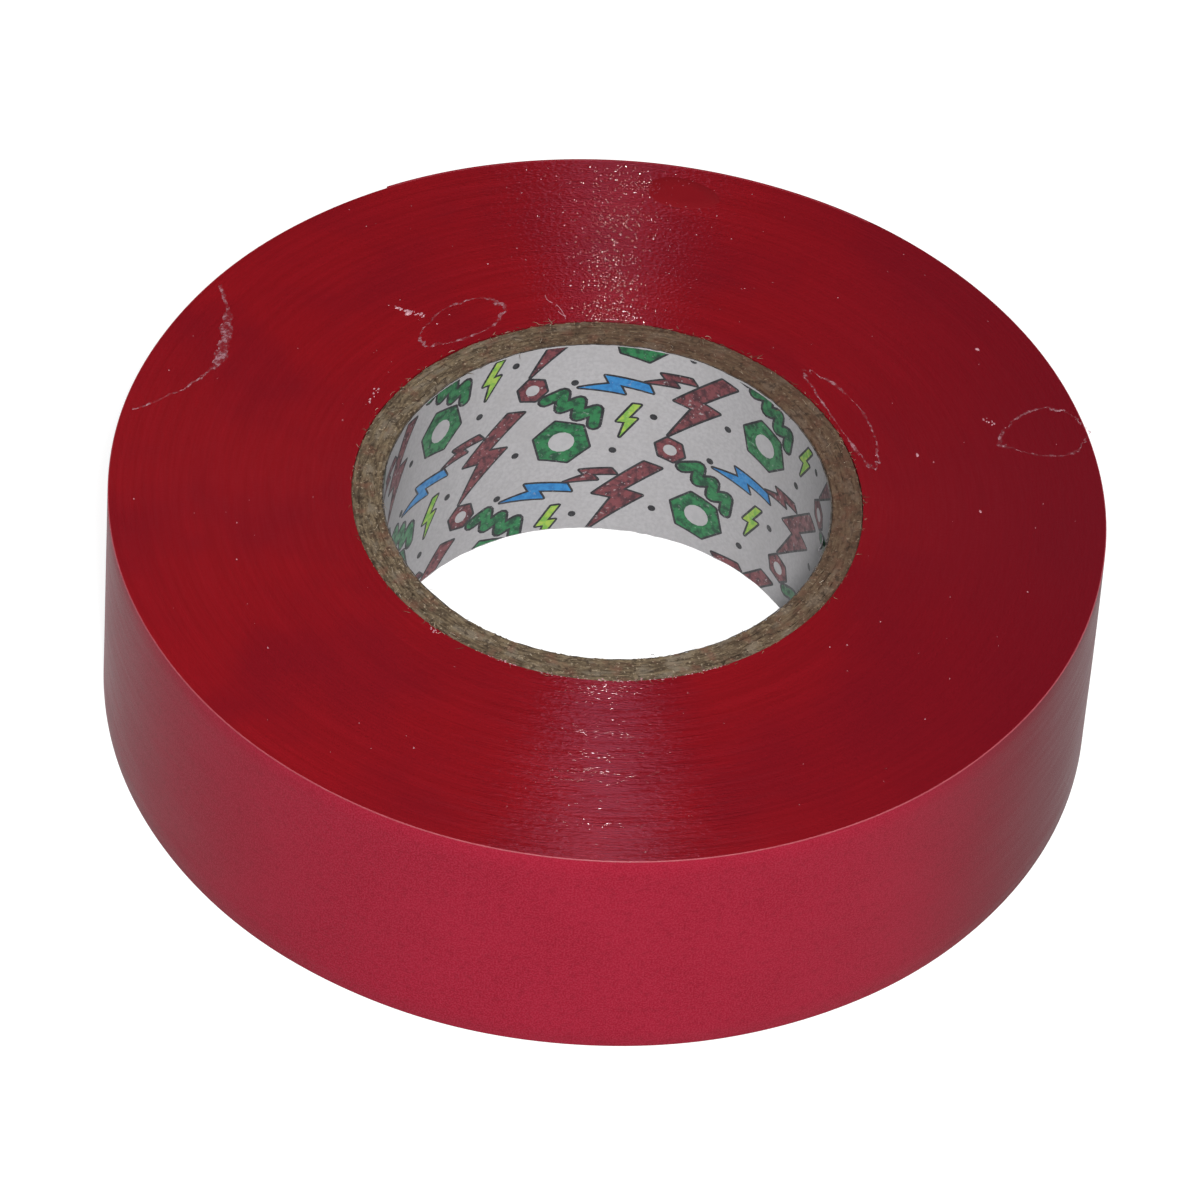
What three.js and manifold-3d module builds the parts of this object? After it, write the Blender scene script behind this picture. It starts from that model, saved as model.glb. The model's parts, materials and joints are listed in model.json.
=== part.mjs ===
// Electrical tape roll: one long strip of adhesive vinyl wound on a paperboard core,
// with a printed paper liner inside the core. The roll lies flat. The origin is the
// centre of its bottom face, +Z is its axis, and lengths are in millimetres.
import * as THREE from 'three';
import { mergeVertices } from 'three/addons/utils/BufferGeometryUtils.js';
import Module from 'manifold-3d';

// Driving dimensions
const WIDTH = 19; // the tape's width, and so the roll's height
const TAPE = 0.15; // vinyl film with its adhesive
const ROLL_RADIUS = 35.8; // out to the tip of the free end
const CORE_RADIUS = 18.3; // outside of the paperboard core
const PLY = 0.55; // one layer of chipboard
const LINER = 0.1; // printed paper
const PLY_NAMES = ['outer', 'third', 'second', 'inner'];

// Each ply is a paper strip wound in a helix, so the two edges of the strip meet in a
// slanting butt joint. The joints of neighbouring plies are staggered.
const JOINT_GAP = 0.3;
const JOINT_TURN = 130; // degrees that a joint travels over the roll's height
const JOINT_STAGGER = 80; // degrees from one ply's joint to the next
const LINER_JOINT = 210; // azimuth of the liner's joint at the bottom face
const JOINT_STEPS = 26; // straight stretches in one slanting joint

// The free end is the last stretch of the strip. It peels off as a chain of short
// pieces, each hinged to the one before it along its outer edge line.
const SEGMENTS = 12;
const SEGMENT_ARC = 5; // degrees of the roll that one piece covers
const TIP = 120; // azimuth of the cut tip
const ROOT = TIP - SEGMENTS * SEGMENT_ARC; // azimuth where the strip starts to lift

const FACET = 2.5; // degrees of arc for each flat facet
const FULL_TURN = 360;

const VINYL = { color: 0xa41b2c, roughness: 0.42, metalness: 0 };
const CHIPBOARD = { color: 0x7b6a54, roughness: 0.95, metalness: 0 };
const PAPER = { color: 0xd9d8dc, roughness: 0.7, metalness: 0 };

const wasm = await Module();
wasm.setup();

const roll = new THREE.Group();

function addPiece(name, geometry, finish) {
  const mesh = new THREE.Mesh(geometry, new THREE.MeshStandardMaterial(finish));
  mesh.name = name;
  roll.add(mesh);
}

// Points along an arc whose radius may change with the winding angle, in degrees.
function arc(radiusAt, from, to) {
  const steps = Math.round(Math.abs(to - from) / FACET);
  const points = [];
  for (let i = 0; i <= steps; i += 1) {
    const angle = from + ((to - from) * i) / steps;
    const azimuth = THREE.MathUtils.degToRad(angle);
    const radius = radiusAt(angle);
    points.push(new THREE.Vector2(radius * Math.cos(azimuth), radius * Math.sin(azimuth)));
  }
  return points;
}

function circle(radius) {
  return arc(() => radius, 0, FULL_TURN).slice(0, -1);
}

// A flat outline, with an optional round hole, raised to the roll's height.
function raise(outline, holeRadius) {
  const shape = new THREE.Shape(outline);
  if (holeRadius) {
    shape.holes.push(new THREE.Path(circle(holeRadius)));
  }
  return new THREE.ExtrudeGeometry(shape, { depth: WIDTH, bevelEnabled: false });
}

// Winding angles run on past a full turn, so the strip climbs by its own thickness each
// time round. The inner face of one turn lies on the outer face of the turn below.
function outerFace(angle) {
  return ROLL_RADIUS + (TAPE * (angle - TIP)) / FULL_TURN;
}

function innerFace(angle) {
  return outerFace(angle - FULL_TURN);
}

function toSolid(geometry) {
  const bare = geometry.clone();
  bare.deleteAttribute('normal');
  bare.deleteAttribute('uv');
  const merged = mergeVertices(bare);
  return new wasm.Manifold(
    new wasm.Mesh({
      numProp: 3,
      vertProperties: new Float32Array(merged.attributes.position.array),
      triVerts: new Uint32Array(merged.index.array),
    }),
  );
}

function fromSolid(solid) {
  const mesh = solid.getMesh();
  const geometry = new THREE.BufferGeometry();
  geometry.setAttribute('position', new THREE.BufferAttribute(mesh.vertProperties, 3));
  geometry.setIndex(new THREE.BufferAttribute(mesh.triVerts, 1));
  return geometry;
}

// The thin slanting gap of a butt joint: a blade that stands through the wall of the
// ply at one azimuth and twists round the roll's axis on its way up.
function jointGap(innerRadius, outerRadius, azimuth) {
  const spare = JOINT_GAP; // how far the blade stands out of the ply on every side
  const depth = outerRadius - innerRadius + 2 * spare;
  const height = WIDTH + 2 * spare;
  const blade = new THREE.BoxGeometry(depth, JOINT_GAP, height, 1, 1, JOINT_STEPS);
  blade.translate((innerRadius + outerRadius) / 2, 0, WIDTH / 2);
  const vertex = new THREE.Vector3();
  const axis = new THREE.Vector3(0, 0, 1);
  const { position } = blade.attributes;
  for (let i = 0; i < position.count; i += 1) {
    vertex.fromBufferAttribute(position, i);
    const turned = azimuth + (JOINT_TURN * vertex.z) / WIDTH;
    vertex.applyAxisAngle(axis, THREE.MathUtils.degToRad(turned));
    position.setXYZ(i, vertex.x, vertex.y, vertex.z);
  }
  return blade;
}

function plyTube(innerRadius, outerRadius, jointAzimuth) {
  const tube = toSolid(raise(circle(outerRadius), innerRadius));
  const gap = toSolid(jointGap(innerRadius, outerRadius, jointAzimuth));
  return fromSolid(tube.subtract(gap));
}

function addCore() {
  let outside = CORE_RADIUS;
  PLY_NAMES.forEach((name, i) => {
    const joint = LINER_JOINT + (PLY_NAMES.length - i) * JOINT_STAGGER;
    addPiece(`core_ply_${name}`, plyTube(outside - PLY, outside, joint), CHIPBOARD);
    outside -= PLY;
  });
  addPiece('printed_liner', plyTube(outside - LINER, outside, LINER_JOINT), PAPER);
}

// Every stuck turn, up to the line where the free end starts to lift.
function addWoundTape() {
  const outline = arc(outerFace, ROOT - FULL_TURN, ROOT);
  addPiece('wound_tape', raise(outline, CORE_RADIUS), VINYL);
}

function addFreeEnd() {
  for (let i = 0; i < SEGMENTS; i += 1) {
    const from = ROOT + i * SEGMENT_ARC;
    const to = from + SEGMENT_ARC;
    const outline = [...arc(outerFace, from, to), ...arc(innerFace, to, from)];
    const number = String(i + 1).padStart(2, '0');
    addPiece(`free_end_${number}`, raise(outline), VINYL);
  }
}

addCore();
addWoundTape();
addFreeEnd();

export default roll;
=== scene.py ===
import json
import math

import bmesh
import bpy
import numpy as np
from mathutils import Matrix, Vector
from mathutils.geometry import delaunay_2d_cdt


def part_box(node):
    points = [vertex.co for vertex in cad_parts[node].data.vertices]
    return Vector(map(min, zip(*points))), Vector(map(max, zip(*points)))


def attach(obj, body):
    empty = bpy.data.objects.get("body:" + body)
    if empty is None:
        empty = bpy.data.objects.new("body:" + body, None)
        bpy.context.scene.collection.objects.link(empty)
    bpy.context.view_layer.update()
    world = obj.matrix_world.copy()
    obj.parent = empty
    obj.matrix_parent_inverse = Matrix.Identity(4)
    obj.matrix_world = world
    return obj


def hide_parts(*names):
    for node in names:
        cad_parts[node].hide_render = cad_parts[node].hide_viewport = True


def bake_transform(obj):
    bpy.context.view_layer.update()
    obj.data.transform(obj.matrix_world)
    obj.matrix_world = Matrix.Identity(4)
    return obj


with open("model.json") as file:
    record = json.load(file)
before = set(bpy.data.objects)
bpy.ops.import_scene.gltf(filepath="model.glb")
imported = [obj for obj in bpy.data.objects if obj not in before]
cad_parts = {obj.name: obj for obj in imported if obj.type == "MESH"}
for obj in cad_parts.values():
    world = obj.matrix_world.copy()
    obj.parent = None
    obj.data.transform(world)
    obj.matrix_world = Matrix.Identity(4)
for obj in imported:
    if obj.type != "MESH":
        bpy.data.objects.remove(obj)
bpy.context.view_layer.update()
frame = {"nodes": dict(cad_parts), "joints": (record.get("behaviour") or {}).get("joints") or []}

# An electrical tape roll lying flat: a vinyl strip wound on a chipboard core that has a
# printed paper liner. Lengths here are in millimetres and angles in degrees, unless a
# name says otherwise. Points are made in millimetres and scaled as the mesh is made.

MM = 0.001
FULL_TURN = 360.0
PLIES = ["core_ply_outer", "core_ply_third", "core_ply_second", "core_ply_inner"]
SEGMENTS = sorted(name for name in frame["nodes"] if name.startswith("free_end"))


def outer_radius(node):
    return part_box(node)[1].x / MM


# The strip
TAPE = 0.15
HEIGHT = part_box("wound_tape")[1].z / MM
CORE_RADIUS = outer_radius("core_ply_outer")
ROOT_HINGE = next(joint["pos_m"] for joint in frame["joints"] if joint["child"] == SEGMENTS[0])
ROOT = math.degrees(math.atan2(ROOT_HINGE[1], ROOT_HINGE[0]))  # azimuth where it lifts off
ROOT_RADIUS = math.hypot(ROOT_HINGE[0], ROOT_HINGE[1]) / MM
SEGMENT_ARC = 5.0
RIM = 0.07  # rounding of the strip's edges
FACE = HEIGHT - RIM / 2  # usual height of the turns' edges
GROOVE = 0.014  # depth of the line between two turns
STUCK_GAP = 0.02  # between the free end and the turn below it
TURN_STEPS = 256
WALL_ROWS = 12
RIM_STEPS = 3

# The core and its liner
LINER = 0.1
LINER_RADIUS = outer_radius("printed_liner")
BORE_RADIUS = LINER_RADIUS - LINER
JOINT_GAP = 0.3
JOINT_TURN = 130.0  # how far a joint winds round on its way up
LINER_JOINT = 210.0
JOINT_STAGGER = 80.0


# ---- random shapes

def smoothstep(t):
    return t * t * (3 - 2 * t)


def drift(seed, x, spacing, size):
    """A smooth random line through x, that changes over about spacing, within size."""
    rng = np.random.default_rng(seed)
    cells = x / spacing
    low = int(np.floor(cells.min()))
    values = rng.uniform(-size, size, int(np.ceil(cells.max())) - low + 2)
    index = np.floor(cells).astype(int)
    t = smoothstep(cells - index)
    return values[index - low] * (1 - t) + values[index - low + 1] * t


# ---- meshes

def around_axis(radius, azimuth, z):
    """Points at a radius, an azimuth and a height, of any one shape, as (..., 3)."""
    a = np.radians(azimuth)
    return np.stack(np.broadcast_arrays(radius * np.cos(a), radius * np.sin(a), z), -1)


def grid_quads(rows, columns, close_rows=False, close_columns=False):
    """Quads over a grid of points numbered row by row."""
    r = np.arange(rows if close_rows else rows - 1)
    c = np.arange(columns if close_columns else columns - 1)
    r, c = np.meshgrid(r, c, indexing="ij")
    below, right = (r + 1) % rows, (c + 1) % columns
    quads = [r * columns + c, r * columns + right]
    quads += [below * columns + right, below * columns + c]
    return np.stack(quads, -1).reshape(-1, 4)


def many_tubes(count, rings, sides):
    """Quads of many separate tubes whose points are numbered tube by tube."""
    one = grid_quads(rings, sides, close_columns=True)
    offsets = np.arange(count)[:, None, None] * rings * sides
    return (one[None] + offsets).reshape(-1, 4).tolist()


def make_piece(name, points, faces, materials, uv=None):
    mesh = bpy.data.meshes.new(name)
    mesh.from_pydata((np.asarray(points).reshape(-1, 3) * MM).tolist(), [], faces)
    if uv is not None:
        corners = np.zeros(len(mesh.loops), int)
        mesh.loops.foreach_get("vertex_index", corners)
        layer = mesh.uv_layers.new(name="Film")
        layer.data.foreach_set("uv", np.asarray(uv).reshape(-1, 2)[corners].ravel())
    for m in materials:
        mesh.materials.append(m)
    mesh.polygons.foreach_set("use_smooth", [True] * len(mesh.polygons))
    mesh.update()
    piece = bpy.data.objects.new(name, mesh)
    bpy.context.scene.collection.objects.link(piece)
    return piece


def paint_faces(piece, numbers):
    """Gives each face its material number."""
    piece.data.polygons.foreach_set("material_index", np.asarray(numbers, int))


def weld(piece, face_outwards=True):
    """Joins points that coincide and drops faces with no area."""
    work = bmesh.new()
    work.from_mesh(piece.data)
    bmesh.ops.remove_doubles(work, verts=work.verts, dist=1e-4 * MM)
    if face_outwards:
        bmesh.ops.recalc_face_normals(work, faces=work.faces)
    work.to_mesh(piece.data)
    work.free()


def keep_creases(piece, angle):
    piece.data.set_sharp_from_angle(angle=math.radians(angle))


# ---- shader nodes

def new_material(name):
    made = bpy.data.materials.new(name)
    made.use_nodes = True
    return made, made.node_tree


def put(tree, socket, value):
    if isinstance(value, bpy.types.NodeSocket):
        tree.links.new(value, socket)
    else:
        socket.default_value = value


def add(tree, kind, inputs, **settings):
    """A new node with its settings made and its inputs set or linked."""
    node = tree.nodes.new(kind)
    for key, value in settings.items():
        setattr(node, key, value)
    for key, value in inputs.items():
        put(tree, node.inputs[key], value)
    return node


def calc(tree, operation, *values):
    node = add(tree, "ShaderNodeMath", dict(enumerate(values)), operation=operation)
    return node.outputs[0]


def calc_vector(tree, operation, *values, output="Vector"):
    node = add(tree, "ShaderNodeVectorMath", dict(enumerate(values)), operation=operation)
    return node.outputs[output]


def noise(tree, vector, scale, detail, roughness=0.55):
    inputs = {"Vector": vector, "Scale": scale, "Detail": detail, "Roughness": roughness}
    return add(tree, "ShaderNodeTexNoise", inputs).outputs["Fac"]


def spread(tree, value, low, high, to_low=0.0, to_high=1.0):
    """Maps low to high onto to_low to to_high, and stops at both ends."""
    inputs = {
        "Value": value, "From Min": low, "From Max": high,
        "To Min": to_low, "To Max": to_high,
    }
    return add(tree, "ShaderNodeMapRange", inputs, interpolation_type="SMOOTHSTEP").outputs[0]


def mix(tree, share, first, second):
    inputs = {"Factor": share, 6: first, 7: second}  # 6 and 7 are the colour sockets
    return add(tree, "ShaderNodeMix", inputs, data_type="RGBA").outputs[2]


def stained(tree, base, *layers):
    """A base colour with tones laid over it. Each layer is a value, low, high, the tone
    and its share at high, which is 1 if not told. At low it has none."""
    for value, low, high, tone, *share in layers:
        base = mix(tree, spread(tree, value, low, high, 0.0, *share), base, tone)
    return base


def bumps(tree, *layers):
    """Bumps over one another, each a height from 0 to 1 and its depth in millimetres."""
    inputs = {"Strength": 1.0}
    for height, depth in layers:
        inputs.update({"Height": height, "Distance": depth * MM})
        inputs["Normal"] = add(tree, "ShaderNodeBump", inputs).outputs[0]
    return inputs["Normal"]


def finished(made, values):
    """The material, once the inputs of its shader are set or linked."""
    shader = made.node_tree.nodes["Principled BSDF"]
    for key, value in values.items():
        put(made.node_tree, shader.inputs[key], value)
    return made


def color(red, green, blue):
    return (red, green, blue, 1.0)


def object_place(tree):
    return add(tree, "ShaderNodeTexCoord", {}).outputs["Object"]


def scaled(tree, vector, x, y, z):
    return calc_vector(tree, "MULTIPLY", vector, (x, y, z))


def axis_direction(tree):
    """The level direction from the roll's axis, of length 1."""
    flat = scaled(tree, object_place(tree), 1.0, 1.0, 0.0)
    return calc_vector(tree, "NORMALIZE", flat)


def fine_noise(tree, scale, detail, roughness=0.55):
    """Noise all through a piece."""
    return noise(tree, object_place(tree), scale, detail, roughness)


def ring_noise(tree, per_radian, per_mm, detail, roughness=0.55):
    """Noise drawn out along the turns, with no seam: it is read at the direction from the
    axis times per_radian, and the distance from it in millimetres times per_mm."""
    flat = scaled(tree, object_place(tree), 1.0, 1.0, 0.0)
    length = calc_vector(tree, "LENGTH", flat, output="Value")
    around = scaled(tree, axis_direction(tree), per_radian, per_radian, 0.0)
    parts = add(tree, "ShaderNodeSeparateXYZ", {0: around})
    inputs = {
        "X": parts.outputs[0], "Y": parts.outputs[1],
        "Z": calc(tree, "MULTIPLY", length, per_mm / MM),
    }
    place = add(tree, "ShaderNodeCombineXYZ", inputs).outputs[0]
    return noise(tree, place, 1.0, detail, roughness)


# ---- materials

RED_SHINE = color(1.0, 0.42, 0.66)
SHINE_FRONT, SHINE_BACK = -87.5, 92.0  # azimuths where the turns' edges catch the light


def towards(tree, vector, azimuth):
    """How far a vector reaches towards an azimuth."""
    a = math.radians(azimuth)
    way = (math.cos(a), math.sin(a), 0.0)
    return calc_vector(tree, "DOT_PRODUCT", vector, way, output="Value")


def near_azimuth(tree, azimuth, falling):
    """1 at an azimuth and 0 from about 22 degrees off it. falling narrows it."""
    level = towards(tree, axis_direction(tree), azimuth)
    ragged = calc(tree, "MULTIPLY", ring_noise(tree, 4.0, 1.6, 4.0), 0.1)
    near = spread(tree, calc(tree, "ADD", level, ragged), 0.95, 1.045)
    return calc(tree, "POWER", near, falling)


def turn_edge_vinyl(name, gloss):
    """The cut edges of the turns: deep red, ringed, and shiny across the rings. gloss
    adds a clear coat, for the parts that glint."""
    made, tree = new_material(name)
    rings = ring_noise(tree, 2.0, 3.0, 5.0)
    streaks = ring_noise(tree, 22.0, 9.0, 2.0)
    clouds = fine_noise(tree, 90.0, 3.0)
    # side grows towards +X, the roll's right; its layer below darkens the edges there as painted
    # shade.
    side = towards(tree, object_place(tree), 0.0)
    base = stained(
        tree, color(0.174, 0.0042, 0.0068),
        (rings, 0.3, 0.7, color(0.195, 0.0048, 0.0082)),
        (clouds, 0.36, 0.7, color(0.137, 0.004, 0.0082), 0.7),
        (side, 0.004, 0.036, color(0.112, 0.0036, 0.0078), 0.9),
    )
    grain = fine_noise(tree, 4200.0, 2.0)
    front, back = near_azimuth(tree, SHINE_FRONT, 2.5), near_azimuth(tree, SHINE_BACK, 1.2)
    drawn = calc(tree, "MULTIPLY", ring_noise(tree, 42.0, 7.0, 2.5), front)
    creased = calc(tree, "MULTIPLY", ring_noise(tree, 85.0, 6.0, 1.5), back)
    worn_turns = ring_noise(tree, 5.0, 3.5, 4.0, 0.7)
    normal = bumps(tree, (streaks, 0.018), (grain, 0.018), (drawn, 0.1), (creased, 0.08))
    rough = spread(tree, worn_turns, 0.38, 0.62, 0.33, 0.66)
    evened = calc(tree, "MULTIPLY", calc(tree, "SUBTRACT", rough, 0.37), back)
    polish = calc(tree, "MULTIPLY_ADD", front, 0.05, evened)
    tangent = add(tree, "ShaderNodeTangent", {}, direction_type="RADIAL", axis="Z").outputs[0]
    return finished(made, {
        "Base Color": base,
        "Roughness": calc(tree, "SUBTRACT", rough, polish),
        "Specular IOR Level": 0.28,
        "Specular Tint": RED_SHINE,
        "Anisotropic": 1.0,
        "Anisotropic Rotation": 0.25,
        "Normal": normal,
        "Tangent": tangent,
        "Coat Weight": gloss,
        "Coat Roughness": 0.2,
        "Coat IOR": 1.65,
    })


def rubbed_vinyl():
    made, tree = new_material("rubbed_vinyl")
    clouds = fine_noise(tree, 300.0, 3.0)
    return finished(made, {
        "Base Color": mix(tree, clouds, color(0.155, 0.0042, 0.0075), color(0.18, 0.005, 0.009)),
        "Roughness": spread(tree, clouds, 0.3, 0.7, 0.45, 0.55),
        "Specular IOR Level": 0.1,
    })


def rolled_edge_vinyl():
    """The paler rounded rim of the strip's outer face; its paler colour is a painted highlight.
    """
    made, tree = new_material("rolled_edge_vinyl")
    nicks = ring_noise(tree, 60.0, 3.0, 4.0)
    return finished(made, {
        # Both tones are far paler than the face: painted highlight along the rim.
        "Base Color": mix(tree, nicks, color(0.26, 0.03, 0.045), color(0.38, 0.08, 0.098)),
        "Roughness": spread(tree, nicks, 0.35, 0.65, 0.35, 0.55),
        "Specular IOR Level": 0.3,
        "Normal": bumps(tree, (nicks, 0.02)),
    })


def film_place(tree):
    return add(tree, "ShaderNodeUVMap", {}, uv_map="Film").outputs[0]


def film_vinyl():
    """The strip's smooth outer face, satin and a little paler than its edges."""
    made, tree = new_material("film_vinyl")
    place = film_place(tree)
    grain = noise(tree, place, 7.5, 4.0)
    calender = noise(tree, scaled(tree, place, 0.12, 1.6, 0.0), 1.0, 4.0)
    clouds = noise(tree, place, 0.16, 4.0)
    speckle = noise(tree, place, 1.7, 5.0, 0.65)
    # side grows towards +X, the roll's right; its layer below darkens the face there as painted
    # shade.
    side = towards(tree, object_place(tree), 0.0)
    base = stained(
        tree, color(0.3, 0.0095, 0.026),
        (clouds, 0.3, 0.7, color(0.33, 0.0115, 0.031)),
        (grain, 0.44, 0.58, color(0.41, 0.026, 0.056), 0.75),
        (speckle, 0.48, 0.68, color(0.2, 0.007, 0.018), 0.3),
        (side, 0.02, 0.036, color(0.15, 0.0055, 0.0145), 0.95),
    )
    return finished(made, {
        "Base Color": base,
        "Roughness": spread(tree, calender, 0.3, 0.7, 0.37, 0.42),
        "Specular IOR Level": 0.05,
        "Normal": bumps(tree, (calender, 0.005), (grain, 0.02)),
    })


def adhesive_face():
    """The strip's sticky inner face: duller, stringy and blotched."""
    made, tree = new_material("adhesive_face")
    place = film_place(tree)
    strings = noise(tree, scaled(tree, place, 0.8, 5.0, 0.0), 1.0, 4.0)
    blotches = noise(tree, place, 0.9, 5.0)
    paler = (blotches, 0.35, 0.7, color(0.36, 0.04, 0.06))
    return finished(made, {
        "Base Color": stained(tree, color(0.3, 0.012, 0.026), paler),
        "Roughness": spread(tree, strings, 0.3, 0.7, 0.2, 0.42),
        "Normal": bumps(tree, (strings, 0.03)),
    })


def chipboard():
    """Grey-brown recycled board: long fibres, dark pits and pale flecks."""
    made, tree = new_material("chipboard")
    fibres = ring_noise(tree, 16.0, 5.0, 6.0, 0.72)
    blend = ring_noise(tree, 9.0, 1.1, 4.0)
    rust = fine_noise(tree, 800.0, 3.0)
    flecks = fine_noise(tree, 4600.0, 2.0)
    pits = fine_noise(tree, 2300.0, 3.0)
    # right_back grows towards azimuth 35; its layer below darkens the board there as painted
    # shade.
    right_back = towards(tree, object_place(tree), 35.0)
    base = stained(
        tree, color(0.04, 0.026, 0.016),
        (fibres, 0.34, 0.64, color(0.158, 0.117, 0.072)),
        (blend, 0.5, 0.66, color(0.17, 0.14, 0.105), 0.65),
        (blend, 0.48, 0.34, color(0.055, 0.038, 0.025), 0.6),
        (rust, 0.5, 0.7, color(0.13, 0.058, 0.038), 0.6),
        (flecks, 0.6, 0.72, color(0.3, 0.24, 0.17), 0.8),
        (right_back, -0.006, 0.016, color(0.07, 0.032, 0.02), 0.58),
        (pits, 0.44, 0.33, color(0.03, 0.019, 0.013), 0.7),
    )
    return finished(made, {
        "Base Color": base,
        "Roughness": 0.93,
        "Specular IOR Level": 0.2,
        "Normal": bumps(tree, (fibres, 0.06), (pits, 0.05)),
    })


def loose_fibre():
    """Each fibre has its own tone, from dark brown to cream."""
    made, tree = new_material("loose_fibre")
    tone = add(tree, "ShaderNodeAttribute", {}, attribute_name="tone").outputs["Fac"]
    streak = fine_noise(tree, 4000.0, 2.0)
    base = stained(
        tree, color(0.06, 0.036, 0.022),
        (tone, 0.1, 0.75, color(0.26, 0.2, 0.135)),
        (tone, 0.85, 1.0, color(0.45, 0.38, 0.3)),
    )
    return finished(made, {
        "Base Color": base,
        "Roughness": spread(tree, streak, 0.3, 0.7, 0.75, 0.95),
        "Specular IOR Level": 0.2,
    })


def liner_paper():
    made, tree = new_material("liner_paper")
    fibres = fine_noise(tree, 3600.0, 4.0)
    clouds = fine_noise(tree, 420.0, 3.0)
    base = stained(
        tree, color(0.37, 0.358, 0.368),
        (fibres, 0.3, 0.7, color(0.432, 0.42, 0.43)),
        (clouds, 0.45, 0.75, color(0.37, 0.355, 0.36), 0.5),
    )
    return finished(made, {
        "Base Color": base,
        "Roughness": 0.62,
        "Specular IOR Level": 0.35,
        "Normal": bumps(tree, (fibres, 0.008)),
    })


def paper_edge():
    """The liner's cut edge, grey-brown with fluff from the board."""
    made, tree = new_material("paper_edge")
    fluff = fine_noise(tree, 2600.0, 4.0)
    paler = (fluff, 0.35, 0.65, color(0.09, 0.078, 0.07))
    return finished(made, {
        "Base Color": stained(tree, color(0.022, 0.016, 0.012), paler),
        "Roughness": 0.9,
        "Normal": bumps(tree, (fluff, 0.02)),
    })


def ink(name, tone, dark, bare):
    """Printing ink that is denser in places and bare in others."""
    made, tree = new_material(name)
    density = fine_noise(tree, 1900.0, 4.0, 0.6)
    misses = fine_noise(tree, 3300.0, 2.0)
    thick = (density, 0.4, 0.64, dark)
    gaps = (misses, 0.63, 0.7, color(0.39, 0.375, 0.385), bare)
    return finished(made, {
        "Base Color": stained(tree, tone, thick, gaps),
        "Roughness": spread(tree, density, 0.3, 0.7, 0.42, 0.6),
        "Specular IOR Level": 0.4,
    })


def glue_residue():
    """A pale, patchy film of dried glue that the red shows through."""
    made, tree = new_material("glue_residue")
    patches = fine_noise(tree, 2600.0, 4.0, 0.65)
    return finished(made, {
        "Base Color": mix(tree, patches, color(0.27, 0.075, 0.095), color(0.48, 0.27, 0.31)),
        "Roughness": spread(tree, patches, 0.3, 0.7, 0.25, 0.6),
        "Alpha": spread(tree, patches, 0.42, 0.66, 0.05, 0.7),
        "Normal": bumps(tree, (patches, 0.05)),
    })


def pale_dust():
    made, tree = new_material("pale_dust")
    patches = fine_noise(tree, 5000.0, 2.0)
    return finished(made, {
        "Base Color": mix(tree, patches, color(0.32, 0.1, 0.125), color(0.5, 0.3, 0.34)),
        "Roughness": spread(tree, patches, 0.3, 0.7, 0.2, 0.5),
    })


def light_table():
    """Frosted white that is lit from below, so that the roll's shadow nearly vanishes."""
    made, tree = new_material("light_table")
    frost = fine_noise(tree, 40.0, 4.0)
    return finished(made, {
        "Base Color": mix(tree, frost, color(0.2, 0.2, 0.2), color(0.22, 0.22, 0.22)),
        "Roughness": 0.9,
        "Specular IOR Level": 0.1,
        "Emission Color": color(1.0, 1.0, 1.0),
        "Emission Strength": 0.9,
    })


# ---- the wound strip

def outer_face(angle):
    """Radius of the strip's outer face at a winding angle, which runs on past 360."""
    return ROOT_RADIUS + TAPE * (angle - ROOT) / FULL_TURN


def wander(turn):
    """How far the strip's edge lies above its usual height, turn by turn."""
    slow = drift(11, turn, 5.0, 0.016)
    return slow + drift(12, turn, 0.45, 0.009) + drift(13, turn, 0.07, 0.003)


def film_wave(angle, z):
    """Gentle bulges in the strip's face, the same one turn later."""
    a = np.radians(angle)
    return 0.02 * np.sin(5 * a + 0.2 * z) + 0.012 * np.sin(13 * a - 0.3 * z)


def edge_height(turn):
    return FACE + wander(turn)


def foot_height(turn):
    return RIM / 2 + wander(turn)


def outside_profile(angle, turn):
    """The strip's outer face with its two rounded edges, from top to bottom.
    Returns radius and height, shape (rows, columns)."""
    face, top, foot = outer_face(angle), edge_height(turn), foot_height(turn)
    bend = np.radians(np.linspace(0, 90, RIM_STEPS + 1))[:, None]
    upper_r = face - RIM + RIM * np.sin(bend)
    upper_z = top - RIM + RIM * np.cos(bend)
    share = np.linspace(0, 1, WALL_ROWS)[1:-1, None]
    wall_z = (top - RIM) * (1 - share) + (foot + RIM) * share
    lower_r = upper_r[::-1]
    lower_z = foot + RIM - RIM * np.cos(bend[::-1])
    radius = np.concatenate([upper_r, np.repeat(face[None, :], len(share), 0), lower_r])
    z = np.concatenate([upper_z, wall_z, lower_z])
    return radius + film_wave(angle, z), z


def turn_rows(turns, rows_per_turn, columns_turn, angle, height):
    """Rows of points over the turns' edges, from the core outwards."""
    back = -np.arange(turns * rows_per_turn, 0, -1)[:, None] / rows_per_turn
    radius = np.maximum(outer_face(angle) + TAPE * back, CORE_RADIUS)
    turn = back + columns_turn
    on_line = np.isclose(back % 1, 0)
    beside = np.minimum(wander(turn - 0.5), wander(turn + 0.5)) - GROOVE
    return radius, height + np.where(on_line, beside, wander(turn))


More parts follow.
